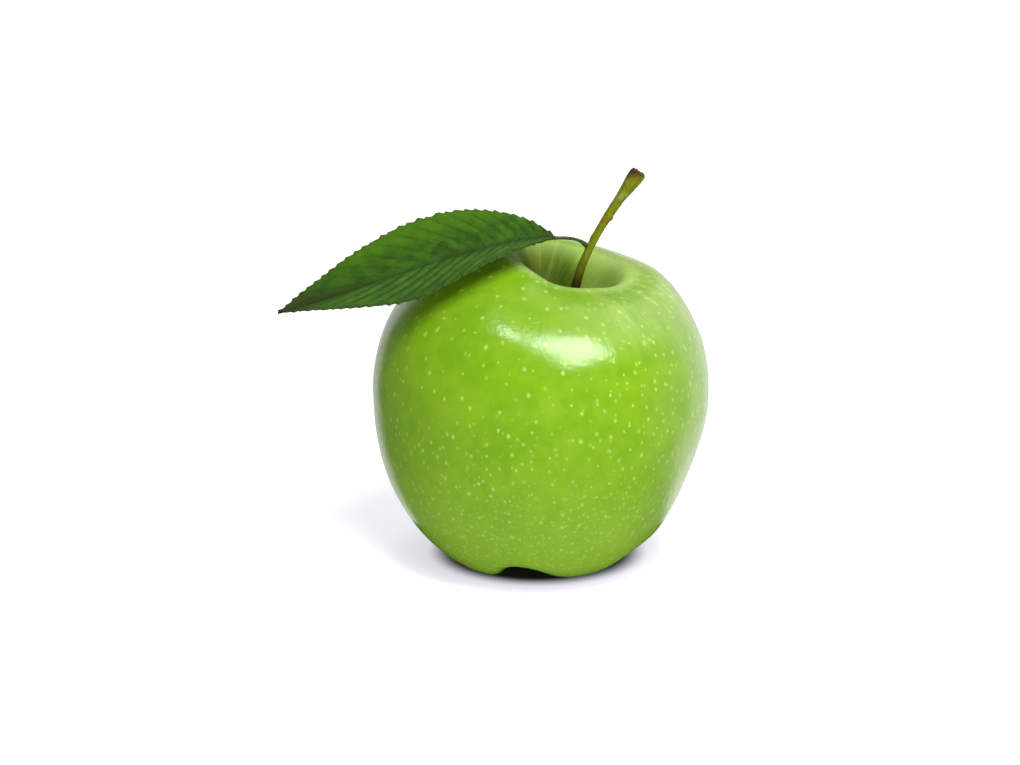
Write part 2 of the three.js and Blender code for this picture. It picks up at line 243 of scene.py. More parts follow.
def smooth(piece, angle):
    deselect_all()
    piece.select_set(True)
    bpy.context.view_layer.objects.active = piece
    bpy.ops.object.shade_smooth_by_angle(angle=math.radians(angle))


def joined(pieces, name):
    """One mesh from several."""
    deselect_all()
    for piece in pieces:
        piece.select_set(True)
    bpy.context.view_layer.objects.active = pieces[0]
    bpy.ops.object.join()
    pieces[0].name = pieces[0].data.name = name
    return pieces[0]


def rolled_bar(name, rows, sides, place):
    """A closed bar: a grid rolled up round its length.

    rows holds each ring's share of the length and its radius, from 0 at one end to 0 at the other, and
    place gives the point for a share, radius and angle.
    """
    deselect_all()
    spans = len(rows) - 1
    bpy.ops.mesh.primitive_grid_add(x_subdivisions=sides, y_subdivisions=spans, size=2.0)
    piece = bpy.context.object
    piece.name = piece.data.name = name
    for vertex in piece.data.vertices:
        share, radius = rows[round((vertex.co.y + 1.0) / 2.0 * spans)]
        point = place(share, radius, math.pi * (vertex.co.x + 1.0))
        vertex.co = (point + Vector((FRUIT_X, 0.0, 0.0))) * MM
    return edit_closed(piece, 1e-6)


def round_section(route, share, sideways, depthways):
    """A point beside a route: sideways lies in the view's plane and depthways away from the viewer."""
    along = route.heading(share)
    across = (Vector((0.0, 1.0, 0.0)) - along * along.y).normalized()
    outwards = along.cross(across)
    return route.point(share) + outwards * sideways + across * depthways


def finished(piece, node, slot, *materials):
    """Gives a piece its materials and place in the part."""
    for material in materials:
        piece.data.materials.append(material)
    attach(piece, "root")
    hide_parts(node)


def store(piece, name, values):
    """Keeps a number at each vertex for the material to read."""
    layer = piece.data.attributes.new(name, "FLOAT", "POINT")
    layer.data.foreach_set("value", values)


class Shader:
    """A material whose nodes are added one by one, each linked as it comes."""

    def __init__(self, name):
        self.material = bpy.data.materials.new(name)
        self.material.use_nodes = True
        self.tree = self.material.node_tree
        self.surface = self.tree.nodes["Principled BSDF"]

    def set(self, socket, value):
        if isinstance(value, bpy.types.NodeSocket):
            self.tree.links.new(value, socket)
        elif value is not None:
            socket.default_value = value

    def add(self, kind, inputs=None, **settings):
        node = self.tree.nodes.new(kind)
        for name, value in settings.items():
            setattr(node, name, value)
        for key, value in (inputs or {}).items():
            self.set(node.inputs[key], value)
        return node

    def object_point(self):
        """Millimetres from the fruit's axis."""
        place = self.add("ShaderNodeTexCoord").outputs["Object"]
        to_mm = (1000.0, 1000.0, 1000.0)
        inputs = {"Vector": place, "Scale": to_mm, "Location": (-FRUIT_X, 0.0, 0.0)}
        return self.add("ShaderNodeMapping", inputs).outputs["Vector"]

    def attribute(self, name):
        return self.add("ShaderNodeAttribute", attribute_name=name).outputs["Fac"]

    def math(self, operation, first, second=None, third=None):
        inputs = {0: first, 1: second, 2: third}
        return self.add("ShaderNodeMath", inputs, operation=operation).outputs[0]

    def vector(self, operation, first, second=None):
        node = self.add("ShaderNodeVectorMath", {0: first, 1: second}, operation=operation)
        return node.outputs["Vector"]

    def length(self, vector):
        return self.add("ShaderNodeVectorMath", {0: vector}, operation="LENGTH").outputs["Value"]

    def scaled(self, vector, scale):
        node = self.add("ShaderNodeVectorMath", {0: vector, "Scale": scale}, operation="SCALE")
        return node.outputs["Vector"]

    def split(self, vector):
        return self.add("ShaderNodeSeparateXYZ", {0: vector}).outputs

    def joined(self, x, y, z):
        return self.add("ShaderNodeCombineXYZ", {0: x, 1: y, 2: z}).outputs[0]

    def span(self, value, low, high, to_low=0.0, to_high=1.0):
        """A smooth step from low to high."""
        inputs = {0: value, 1: low, 2: high, 3: to_low, 4: to_high}
        return self.add("ShaderNodeMapRange", inputs, interpolation_type="SMOOTHSTEP").outputs[0]

    def noise(self, vector, scale, detail=3.0, roughness=0.55):
        inputs = {"Vector": vector, "Scale": scale, "Detail": detail, "Roughness": roughness}
        return self.add("ShaderNodeTexNoise", inputs).outputs["Fac"]

    def mix(self, factor, first, second, blend="MIX"):
        inputs = {0: factor, 6: first, 7: second}
        node = self.add("ShaderNodeMix", inputs, data_type="RGBA", blend_type=blend)
        return node.outputs[2]

    def bump(self, height, distance, strength, normal=None):
        inputs = {"Height": height, "Distance": distance, "Strength": strength, "Normal": normal}
        return self.add("ShaderNodeBump", inputs).outputs["Normal"]

    def finish(self, **sockets):
        for name, value in sockets.items():
            self.set(self.surface.inputs[name.replace("_", " ")], value)
        return self.material


def colour(*parts):
    return (*parts, 1.0)


def colour_setting(name, description, default):
    """A colour that the sidebar shows."""
    return FloatVectorProperty(
        name=name,
        description=description,
        subtype="COLOR",
        size=len(default),
        min=0.0,
        max=1.0,
        default=default,
    )


class FruitSettings(bpy.types.PropertyGroup):
    """The fruit's skin."""

    sunny_green: colour_setting(
        "Skin Green", "Colour of the skin over most of the fruit", colour(0.137, 0.265, 0.008)
    )
    deep_green: colour_setting(
        "Deep Green", "Colour of the darker patches of the skin", colour(0.102, 0.228, 0.004)
    )
    dot_colour: colour_setting(
        "Dot Colour", "Colour of the pale pores of the skin", colour(0.3, 0.45, 0.1)
    )
    dot_radius: FloatProperty(
        name="Dot Radius",
        description="About the radius of a large pore",
        subtype="DISTANCE",
        default=0.0006,
        min=0.0001,
        max=0.002,
    )
    gloss_roughness: FloatProperty(
        name="Roughness",
        description="How soft the reflections on the skin's wax are",
        subtype="FACTOR",
        default=0.21,
        min=0.0,
        max=1.0,
    )


class StemSettings(bpy.types.PropertyGroup):
    """The stem's bark."""

    olive: colour_setting("Olive", "Colour of the stem's bark", colour(0.12, 0.15, 0.006))
    brown: colour_setting("Brown", "Colour of the stem's cut end", colour(0.045, 0.02, 0.005))


class LeafSettings(bpy.types.PropertyGroup):
    """The leaf's blade and stalk."""

    blade_thickness: FloatProperty(
        name="Thickness",
        description="Thickness of the blade",
        subtype="DISTANCE",
        default=0.00042,
        min=0.0001,
        max=0.002,
    )
    vein_depth: FloatProperty(
        name="Vein Depth",
        description="Depth of a side vein's furrow on the upper face",
        subtype="DISTANCE",
        default=0.0001,
        min=0.0,
        max=0.001,
    )
    light_green: colour_setting(
        "Light Green", "Colour of the blade between its veins", colour(0.032, 0.096, 0.006)
    )
    dark_green: colour_setting(
        "Dark Green", "Colour of the blade along its veins", colour(0.014, 0.043, 0.004)
    )


class CalyxSettings(bpy.types.PropertyGroup):
    """The dried rest of the flower."""

    dry_brown: colour_setting("Dry Brown", "Colour of the dried sepals", colour(0.13, 0.085, 0.035))


class StageSettings(bpy.types.PropertyGroup):
    """The floor, the light and the camera."""

    floor_colour: colour_setting("Floor", "Colour of the floor", colour(0.42, 0.42, 0.42))
    floor_glow: FloatProperty(
        name="Floor Glow",
        description="Strength of the light that comes through the floor's white sheet",
        default=0.79,
        min=0.0,
        max=5.0,
    )
    sky_colour: colour_setting("Surroundings", "Colour of the light from all round", (0.95, 0.95, 1.0))
    sky_strength: FloatProperty(
        name="Surroundings Strength",
        description="Strength of the light from all round",
        default=0.14,
        min=0.0,
        max=5.0,
    )
    key_power: FloatProperty(
        name="Key Power",
        description="Power of the large soft light above the viewer",
        subtype="POWER",
        default=14.0,
        min=0.0,
        max=1000.0,
    )
    fill_power: FloatProperty(
        name="Fill Power",
        description="Power of the low broad light in front, which leaves no reflection",
        subtype="POWER",
        default=8.0,
        min=0.0,
        max=1000.0,
    )
    side_power: FloatProperty(
        name="Side Power",
        description="Power of the broad light behind the fruit's right shoulder",
        subtype="POWER",
        default=3.0,
        min=0.0,
        max=1000.0,
    )


def skin_point(radius, height, angle):
    """Where the skin lies at a radius and height of the half outline and an angle round the axis."""
    wave = LOBES * (angle - FIRST_LOBE_AT)
    lobe = math.cos(wave + LOBE_SKEW * math.sin(wave / 2.0) ** 2)
    valley = (1.0 - lobe) / 2.0
    upper = 1.0 if height >= BELLY_HEIGHT else 0.0
    lower = 1.0 - upper
    unevenness = lerp(math.cos(angle - DEEPEST_GROOVE_AT), 1.0, GROOVE_EVENNESS)
    groove = GROOVE_DEPTH * unevenness * valley**GROOVE_SHARPNESS
    groove *= lower * eased(2.0, 14.0, radius) * eased(31.0, 15.0, radius)
    belt = lower * math.sin(math.pi * min(max(height / BELLY_HEIGHT, 0.0), 1.0)) ** 2
    shoulder = upper * eased(BELLY_HEIGHT, RIM_HEIGHT, height) * eased(10.0, 18.0, radius)
    base = lower * eased(34.0, 16.0, radius)
    top = upper * eased(37.0, 16.0, radius)
    hollow = upper * eased(13.0, 0.0, radius)
    tilt = RIM_SADDLE * math.cos(2.0 * angle) - RIM_TILT * math.cos(angle - RIM_LOWEST_AT)
    tilt *= upper * eased(0.0, 15.0, radius) * eased(38.0, 22.0, radius)
    dip = RIM_DIP * valley * upper * eased(1.0, 11.0, radius) * eased(33.0, 17.0, radius)
    ribbed = radius * (1.0 + lobe * (RIB_HEIGHT * belt + SHOULDER_RIB_HEIGHT * shoulder))
    widest = max(math.cos(angle - RIM_WIDEST_AT), 0.0) ** 2
    widest *= eased(2.0, 13.0, radius) * eased(37.0, 14.0, radius)
    out = ribbed + upper * RIM_WIDENING * widest
    push_x = BASE_OFFSET_X * base - BELLY_LEAN * belt
    push_x += TOP_OFFSET[0] * top + CAVITY_FLOOR_OFFSET[0] * hollow
    push_y = TOP_OFFSET[1] * top + CAVITY_FLOOR_OFFSET[1] * hollow
    tube = CALYX_TUBE_DEPTH * lower * eased(CALYX_TUBE_RADIUS, 0.8, radius)
    return Vector(
        (
            out * math.cos(angle) + push_x,
            out * math.sin(angle) + push_y,
            height - GROUND_CUT + groove + tilt - dip + tube,
        )
    )


def fruit_outline():
    """The half outline as a Bezier curve, made a row of edges."""
    deselect_all()
    bpy.ops.curve.primitive_bezier_curve_add()
    curve = bpy.context.object
    curve.data.dimensions = "3D"
    curve.data.resolution_u = OUTLINE_STEPS
    spline = curve.data.splines[0]
    spline.bezier_points.add(len(FRUIT_OUTLINE) - len(spline.bezier_points))
    for point, places in zip(spline.bezier_points, FRUIT_OUTLINE):
        point.handle_left_type = point.handle_right_type = "FREE"
        left, middle, right = ((radius, 0.0, height) for radius, height in places)
        point.co = middle
        point.handle_left = left
        point.handle_right = right
    bpy.ops.object.convert(target="MESH")
    return bpy.context.object


def make_skin():
    """Spins the outline round its axis and moves each point to the skin, lobes and hollows."""
    piece = fruit_outline()
    piece.name = piece.data.name = "fruit_skin"
    bpy.ops.object.mode_set(mode="EDIT")
    bpy.ops.mesh.select_all(action="SELECT")
    bpy.ops.mesh.spin(
        steps=FRUIT_SIDES, angle=2.0 * math.pi, center=(0.0, 0.0, 0.0), axis=(0.0, 0.0, 1.0)
    )
    edit_closed(piece, 1e-4)
    hollows = []
    basins = []
    for vertex in piece.data.vertices:
        radius = math.hypot(vertex.co.x, vertex.co.y)
        height = vertex.co.z
        above = height >= BELLY_HEIGHT
        hollows.append(eased(17.0, 2.0, radius) if above else 0.0)
        basins.append(0.0 if above else eased(15.0, 3.0, radius))
        point = skin_point(radius, height, math.atan2(vertex.co.y, vertex.co.x))
        inwards = Vector((point.x, point.y, point.z - BELLY_HEIGHT)).normalized()
        point += inwards * SKIN_WAVE_HEIGHT * roughly(point, SKIN_WAVE_LENGTH)
        point.z = max(point.z, 0.0)
        vertex.co = (point + Vector((FRUIT_X, 0.0, 0.0))) * MM
    for face in piece.data.polygons:
        face.material_index = 1 if min(hollows[i] for i in face.vertices) > HOLLOW_STARTS else 0
    store(piece, "hollow", hollows)
    store(piece, "basin", basins)
    smooth(piece, 80.0)
    return piece


def pore_dots(shader, point, spacing, radius, seed):
    """Soft round dots, uneven in size and paleness, each where the middle of a cell meets the skin."""
    moved = shader.vector("ADD", point, (seed, seed * 1.7, seed * 0.3))
    cells = shader.add("ShaderNodeTexVoronoi", {"Vector": moved, "Scale": 1.0 / spacing})
    size, paleness = shader.split(cells.outputs["Color"])[:2]
    offset = shader.vector("SUBTRACT", moved, cells.outputs["Position"])
    outwards = shader.vector("NORMALIZE", shader.vector("SUBTRACT", point, (0.0, 0.0, 32.0)))
    beside = shader.length(shader.vector("CROSS_PRODUCT", offset, outwards))
    edge = shader.span(size, 0.0, 1.0, 0.6 * radius, 1.1 * radius)
    pale = shader.span(paleness, 0.0, 1.0, 0.45, 1.1)
    return shader.math("MULTIPLY", shader.span(beside, edge, 0.0), pale)


def skin_streaks(shader, point):
    """Fine streaks from the stem's hollow down to the basin, as the skin grew."""
    x, y, z = shader.split(point)[:3]
    compass = shader.vector("NORMALIZE", shader.joined(x, y, 0.0))
    wobble = shader.math("MULTIPLY", shader.noise(point, 0.12, 2.0), 1.1)
    drift = shader.joined(wobble, wobble, shader.math("MULTIPLY", z, 0.12))
    place = shader.vector("ADD", shader.scaled(compass, STREAKS_ROUND), drift)
    return shader.noise(place, 1.0, 4.0, 0.6)


def skin_greens(shader, settings, point, hollow, clouds, streaks):
    """Patches of two greens, paler low down and in streaks on the right shoulder, with a painted sheen
    paling the right side and the right shoulder.
    """
    x, _, z = shader.split(point)[:3]
    patches = shader.noise(point, 0.22, 3.0)
    tone = shader.math("MULTIPLY_ADD", patches, 0.5, shader.math("MULTIPLY", clouds, 0.6))
    skin = shader.mix(shader.span(tone, 0.36, 0.72), settings.deep_green, settings.sunny_green)
    low = shader.span(z, 42.0, 4.0, 0.0, 0.65)
    skin = shader.mix(low, skin, colour(0.162, 0.286, 0.025))
    # Painted sheen: paler towards the right edge and over the right shoulder.
    skin = shader.mix(shader.span(x, 20.0, 36.0, 0.0, 0.2), skin, colour(0.3, 0.36, 0.16))
    shoulder = shader.math("MULTIPLY", shader.span(x, 2.0, 24.0), shader.span(z, 54.0, 70.0))
    skin = shader.mix(shader.math("MULTIPLY", shoulder, 0.25), skin, colour(0.3, 0.36, 0.15))
    streaked = shader.math("MAXIMUM", shoulder, shader.span(hollow, 0.0, 0.25))
    pale_streaks = shader.math("MULTIPLY", shader.span(streaks, 0.46, 0.64, 0.0, 0.4), streaked)
    skin = shader.mix(pale_streaks, skin, colour(0.29, 0.38, 0.12))
    dark_streaks = shader.span(streaks, 0.42, 0.28, 0.0, 0.2)
    return shader.mix(dark_streaks, skin, colour(0.07, 0.19, 0.003))


def pores(shader, settings, point, hollow, clouds):
    """The skin's pale pores: large and far apart above, small and close below."""
    x, _, z = shader.split(point)[:3]
    stretched = shader.vector("MULTIPLY", point, (1.0, 1.0, 0.8))
    radius = settings.dot_radius / MM
    large = pore_dots(shader, stretched, 4.2, radius * 1.15, 3.0)
    middle = pore_dots(shader, stretched, 3.5, radius * 1.05, 17.0)
    small = pore_dots(shader, stretched, 1.9, radius * 0.92, 31.0)
    wander = shader.math("MULTIPLY_ADD", clouds, 26.0, z)
    crowded = shader.math("MAXIMUM", shader.span(wander, 66.0, 44.0), shader.span(x, 4.0, 16.0))
    middle = shader.math("MULTIPLY", middle, crowded)
    small = shader.math("MULTIPLY", small, shader.span(wander, 56.0, 28.0, 0.0, 0.65))
    dots = shader.math("MAXIMUM", shader.math("MAXIMUM", large, middle), small)
    dots = shader.math("MULTIPLY", dots, shader.span(z, 6.0, 55.0, 0.42, 0.75))
    return shader.math("MULTIPLY", dots, shader.span(hollow, 0.6, 0.15))


def hollow_colours(shader, skin, x, hollow, streaks):
    """The stem's hollow: painted light and sheen at its lip, painted shade within, streaks, a browner
    left wall deep down.
    """
    right_wall = shader.span(x, 3.0, 13.0)
    # Painted light: the hollow's right lip and upper wall made paler, as if lit.
    lip = shader.math("MULTIPLY", shader.span(hollow, 0.0, 0.35, 0.0, 0.6), right_wall)
    skin = shader.mix(lip, skin, colour(0.22, 0.32, 0.06))
    # Painted sheen: a pale grey band on the hollow's left lip.
    painted_sheen_left_lip = shader.math("MULTIPLY", shader.span(hollow, 0.05, 0.2), shader.span(hollow, 0.45, 0.25))
    painted_sheen_left_lip = shader.math("MULTIPLY", painted_sheen_left_lip, shader.span(x, 0.0, -8.0, 0.0, 0.5))
    skin = shader.mix(painted_sheen_left_lip, skin, colour(0.26, 0.34, 0.18))
    # Painted shade: darker down the hollow and darker still low in it, less on the right wall.
    painted_shade_share = shader.span(right_wall, 0.0, 1.0, 0.85, 0.0)
    painted_hollow_shade = shader.math("MULTIPLY", shader.span(hollow, 0.12, 0.5), painted_shade_share)
    skin = shader.mix(painted_hollow_shade, skin, colour(0.095, 0.16, 0.012))
    painted_shade_share = shader.span(right_wall, 0.0, 1.0, 0.85, 0.15)
    deep = shader.math("MULTIPLY", shader.span(hollow, 0.32, 0.7), painted_shade_share)
    skin = shader.mix(deep, skin, colour(0.022, 0.042, 0.003))
    pale_streaks = shader.span(streaks, 0.45, 0.68, 0.0, 0.3)
    pale_streaks = shader.math("MULTIPLY", pale_streaks, shader.span(hollow, 0.1, 0.4))
    skin = shader.mix(pale_streaks, skin, colour(0.17, 0.25, 0.03))
    left_wall = shader.math("MULTIPLY", shader.span(x, 6.0, -4.0), shader.span(hollow, 0.35, 0.65))
    brown_left_wall = shader.math("MULTIPLY", shader.span(streaks, 0.35, 0.6, 0.35, 0.8), left_wall)
    skin = shader.mix(brown_left_wall, skin, colour(0.12, 0.135, 0.026))
    # Painted shade at the very bottom round the stem's foot, near black with a brown tint.
    return shader.mix(shader.span(hollow, 0.9, 1.0, 0.0, 0.8), skin, colour(0.02, 0.012, 0.003))


def skin_material(settings, name, inside):
    """The waxy skin, or the same skin without wax inside the stem's hollow."""
    shader = Shader(name)
    point = shader.object_point()
    hollow = shader.attribute("hollow")
    clouds = shader.noise(point, 0.055, 3.0)
    streaks = skin_streaks(shader, point)
    skin = skin_greens(shader, settings, point, hollow, clouds, streaks)
    dots = pores(shader, settings, point, hollow, clouds)
    skin = shader.mix(dots, skin, settings.dot_colour)
    skin = hollow_colours(shader, skin, shader.split(point)[0], hollow, streaks)
    in_basin = shader.span(shader.attribute("basin"), 0.35, 1.0, 0.0, 0.7)
    skin = shader.mix(in_basin, skin, colour(0.13, 0.18, 0.025))
    if inside:
        # Near the wax the skin is painted as much paler as the wax's own dull sheen would make it: a
        # painted sheen.
        painted_sheen = shader.span(hollow, HOLLOW_STARTS, HOLLOW_STARTS + 0.3, 1.0, 0.0)
        skin = shader.mix(painted_sheen, skin, colour(0.045, 0.045, 0.045), "ADD")
    normal = shader.bump(shader.noise(point, 0.7, 3.0), 0.00012, 0.6)
    return shader.finish(
        Base_Color=skin,
        Roughness=shader.span(hollow, 0.02, HOLLOW_STARTS, settings.gloss_roughness, 0.9),
        Normal=shader.bump(dots, 0.00004, 0.5, normal),
        IOR=1.5,
        Specular_IOR_Level=0.02 if inside else 0.3,
        Subsurface_Weight=0.12,
        Subsurface_Radius=(0.7, 1.0, 0.25),
        Subsurface_Scale=0.0015,
    )


STEM = Route(STEM_ROUTE)


def stem_place(share, radius, angle):
    """A point of the stem: wrinkled bark, a bud scar to the right and the leaf's boss to the left."""
    left = math.cos(angle)
    bud = 0.3 * bell(share, BUD_SCAR_AT, 0.012) * max(-left, 0.0) ** 3
    boss = 0.14 * bell(share, LEAF_BOSS_AT, 0.016) * max(left, 0.0) ** 3
    ring = 0.05 * bell(share, BUD_SCAR_AT + 0.012, 0.006)
    ring += 0.05 * bell(share, LEAF_BOSS_AT - 0.012, 0.006)
    wrinkle = 0.045 * roughly((2.4 * math.cos(angle), 2.4 * math.sin(angle), share * 14.0), 1.0)
    grain = 0.02 * roughly((7.0 * math.cos(angle), 7.0 * math.sin(angle), share * 60.0), 1.0)
    swollen = 1.0 + bud + boss + ring + wrinkle + grain
    flat = lerp(1.0, STEM_END_FLAT, eased(0.8, 1.0, share))
    torn = 0.012 * roughly((3.0 * math.cos(angle), 3.0 * math.sin(angle), radius), 1.0)
    torn *= eased(0.97, 1.0, share)
    at = STEM.paced(share + torn)
    return round_section(STEM, at, radius * swollen * left, radius * swollen * flat * math.sin(angle))


def stem_rows():
    """The stem's rings: a foot, a slim shank, a flared end and its torn, hollowed cut."""
    rows = [(0.0, 0.0), (0.0, STEM_FOOT_RADIUS * 0.7)]
    for i in range(STEM_STEPS + 1):
        share = i / STEM_STEPS
        foot = STEM_FOOT_RADIUS * eased(0.3, 0.05, share)
        flare = (STEM_END_RADIUS - STEM_RADIUS) * eased(0.8, 0.985, share)
        lip = 1.0 - 0.12 * eased(0.985, 1.0, share)
        rows.append((share, max(foot, STEM_RADIUS + 0.12 * math.sin(9.0 * share) + flare) * lip))
    last = rows[-1][1]
    for share, part in ((0.999, 0.92), (0.997, 0.8), (0.991, 0.62), (0.988, 0.35), (0.99, 0.0)):
        rows.append((share, last * part))
    return rows


def make_stem():
    piece = rolled_bar("stem_shank", stem_rows(), STEM_SIDES, stem_place)
    lengths = []
    ends = []
    for vertex in piece.data.vertices:
        height = vertex.co.z / MM
        lengths.append((height - STEM_ROUTE[0][2]) / STEM_RISE)
        ends.append(eased(CUT_END_FROM, CUT_END_TO, height))
    store(piece, "along", lengths)
    store(piece, "cut_end", ends)
    smooth(piece, 60.0)
    return piece


def stem_material(settings):
    shader = Shader("stem_bark")
    point = shader.object_point()
    along = shader.attribute("along")
    cut = shader.attribute("cut_end")
    grain = shader.noise(shader.vector("MULTIPLY", point, (1.6, 1.6, 0.45)), 1.0, 4.0, 0.65)
    patches = shader.noise(point, 0.35, 3.0)
    bark = shader.mix(shader.span(grain, 0.35, 0.65), colour(0.08, 0.1, 0.004), settings.olive)
    bark = shader.mix(shader.span(patches, 0.55, 0.72, 0.0, 0.6), bark, colour(0.13, 0.085, 0.008))
    # Darker towards the foot: partly the stem's own brown, partly painted shade where it stands in the
    # hollow.
    foot = shader.span(along, 0.54, 0.3)
    bark = shader.mix(shader.math("MULTIPLY", foot, 0.95), bark, colour(0.022, 0.014, 0.002))
    scar = shader.math("SUBTRACT", along, SCAR_COLOUR_AT)
    scar = shader.span(shader.math("ABSOLUTE", scar), 0.03, 0.008)
    bark = shader.mix(shader.math("MULTIPLY", scar, 0.55), bark, colour(0.13, 0.045, 0.006))
    pale = shader.math("SUBTRACT", along, PALE_PATCH_AT)
    pale = shader.span(shader.math("ABSOLUTE", pale), 0.05, 0.01)
    pale = shader.math("MULTIPLY", pale, shader.span(grain, 0.48, 0.6))
    bark = shader.mix(shader.math("MULTIPLY", pale, 0.45), bark, colour(0.26, 0.27, 0.12))
    bark = shader.mix(cut, bark, settings.brown)
    crumbs = shader.noise(point, 3.0, 3.0)
    crumbs = shader.math("MULTIPLY", cut, shader.span(crumbs, 0.5, 0.62))
    bark = shader.mix(crumbs, bark, colour(0.02, 0.012, 0.006))
    normal = shader.bump(grain, 0.00012, 0.6)
    return shader.finish(Base_Color=bark, Roughness=0.6, Normal=normal, Specular_IOR_Level=0.05)


STALK = Route(STALK_ROUTE)


def stalk_place(share, radius, angle):
    wrinkle = 1.0 + 0.05 * roughly((2.0 * math.cos(angle), 2.0 * math.sin(angle), share * 12.0), 1.0)
    at = STALK.paced(share)
    channel = 1.0 - 0.18 * max(math.cos(angle), 0.0) ** 4 * eased(0.1, 0.3, share)
    sideways = radius * wrinkle * channel * math.cos(angle)
    return round_section(STALK, at, sideways, radius * math.sin(angle))


def make_stalk():
    rows = [(0.0, 0.0)]
    for i in range(STALK_STEPS + 1):
        share = i / STALK_STEPS
        radius = lerp(STALK_RADIUS, STALK_FOOT_RADIUS, eased(0.2, 0.0, share))
        rows.append((share, radius * lerp(1.0, 1.15, share)))
    rows.append((1.0, 0.0))
    piece = rolled_bar("leaf_stalk", rows, STALK_SIDES, stalk_place)
    smooth(piece, 60.0)
    return piece


def stalk_material():
    shader = Shader("leaf_stalk")
    point = shader.object_point()
    grain = shader.noise(shader.vector("MULTIPLY", point, (0.4, 2.0, 2.0)), 1.0, 3.0)
    dark = colour(0.012, 0.022, 0.003)
    bark = shader.mix(shader.span(grain, 0.35, 0.65), dark, colour(0.03, 0.042, 0.006))
    return shader.finish(Base_Color=bark, Roughness=0.55, Specular_IOR_Level=0.2)


MIDRIB = Route(MIDRIB_ROUTE)


def blade_half_width(margin):
    return BLADE_HALF_WIDTH * max(0.0, math.sin(math.pi * margin**WIDEST_SHIFT)) ** OUTLINE_FULLNESS


def tooth_at(margin, side):
    """How far a forward-leaning tooth stands out at a place on the edge."""
    uneven = roughly((margin * 30.0, side * 9.0, 0.0), 1.0)
    phase = (margin * TEETH + 0.3 * uneven) % 1.0
    rise = (phase / TOOTH_LEAN) ** 1.2 if phase < TOOTH_LEAN else (1.0 - phase) / (1.0 - TOOTH_LEAN)
    return TOOTH_DEPTH * (0.9 + 0.8 * uneven) * rise


def vein_distance(margin, side):
    """Millimetres to the nearest side vein, about."""
    count = VEIN_PAIRS * (margin + 0.004 * roughly((margin * 9.0, side * 5.0, 2.0), 1.0))
    return abs(count - round(count)) / VEIN_PAIRS * BLADE_LENGTH


def blade_point(margin, across, vein_depth):
    """A point of the blade's upper face and its distances from the midrib and from the edge."""
    side = math.copysign(1.0, across)
    out = abs(across)
    root = 1.0 - (1.0 - margin) ** (1.0 / VEIN_SWEEP)
    along = root + (margin - root) * out**VEIN_CURVE
    half_width = blade_half_width(margin)
    tooth = tooth_at(margin, side) * out**6 if half_width > 0.8 else 0.0
    edge = max(half_width + tooth - EDGE_TRIM, 0.45)
    width = out * edge
    forwards = MIDRIB.heading(along)
    sideways = Vector((0.0, 0.0, 1.0)).cross(forwards).normalized()
    upwards = forwards.cross(sideways)
    droop = NEAR_HALF_DROOP * bell(along, DROOP_AT, DROOP_SPREAD)
    lift = FAR_HALF_LIFT if side < 0.0 else NEAR_HALF_LIFT - droop
    lift *= eased(0.0, 0.6, width)
    outwards = sideways * side * math.cos(lift) + upwards * math.sin(lift)
    normal = upwards * math.cos(lift) - sideways * side * math.sin(lift)
    quilt = -QUILT_DEPTH * math.cos(2.0 * math.pi * VEIN_PAIRS * margin)
    quilt *= math.sin(math.pi * min(out, 0.95))
    relief = quilt * eased(1.0, 3.0, width) * (0.6 if side < 0.0 else 1.0)
    relief -= vein_depth * bell(vein_distance(margin, side), 0.0, 0.35) * eased(1.0, 0.8, out)
    relief -= 0.3 * bell(width, 0.0, 0.45) * eased(1.0, 0.7, margin)
    relief += 0.06 * roughly((margin * 60.0, across * 12.0, 5.0), 1.0) * eased(0.5, 3.0, width)
    relief += 0.3 * roughly((margin * 7.0, across * 2.0, 8.0), 1.0) * out**3
    point = MIDRIB.point(along) + outwards * width + normal * relief
    return point, width, edge - width


def make_blade(settings):
    """A grid laid along the midrib, toothed and quilted, and given its thickness."""
    deselect_all()
    bpy.ops.mesh.primitive_grid_add(
        x_subdivisions=TEETH * STEPS_PER_TOOTH, y_subdivisions=STEPS_ACROSS, size=2.0
    )
    piece = bpy.context.object
    piece.name = piece.data.name = "leaf_blade"
    ribs = []
    edges = []
    for vertex in piece.data.vertices:
        margin = (vertex.co.x + 1.0) / 2.0
        across = math.copysign(abs(vertex.co.y) ** 1.25, vertex.co.y)
        point, width, from_edge = blade_point(margin, across, settings.vein_depth / MM)
        ribs.append(width)
        edges.append(from_edge)
        vertex.co = (point + Vector((FRUIT_X, 0.0, 0.0))) * MM
    store(piece, "from_midrib", ribs)
    store(piece, "from_edge", edges)
    solid = piece.modifiers.new("thickness", "SOLIDIFY")
    solid.thickness = settings.blade_thickness
    solid.offset = -1.0
    solid.material_offset = 1
    solid.material_offset_rim = 1
    bpy.ops.object.modifier_apply(modifier=solid.name)
    smooth(piece, 55.0)
    return piece


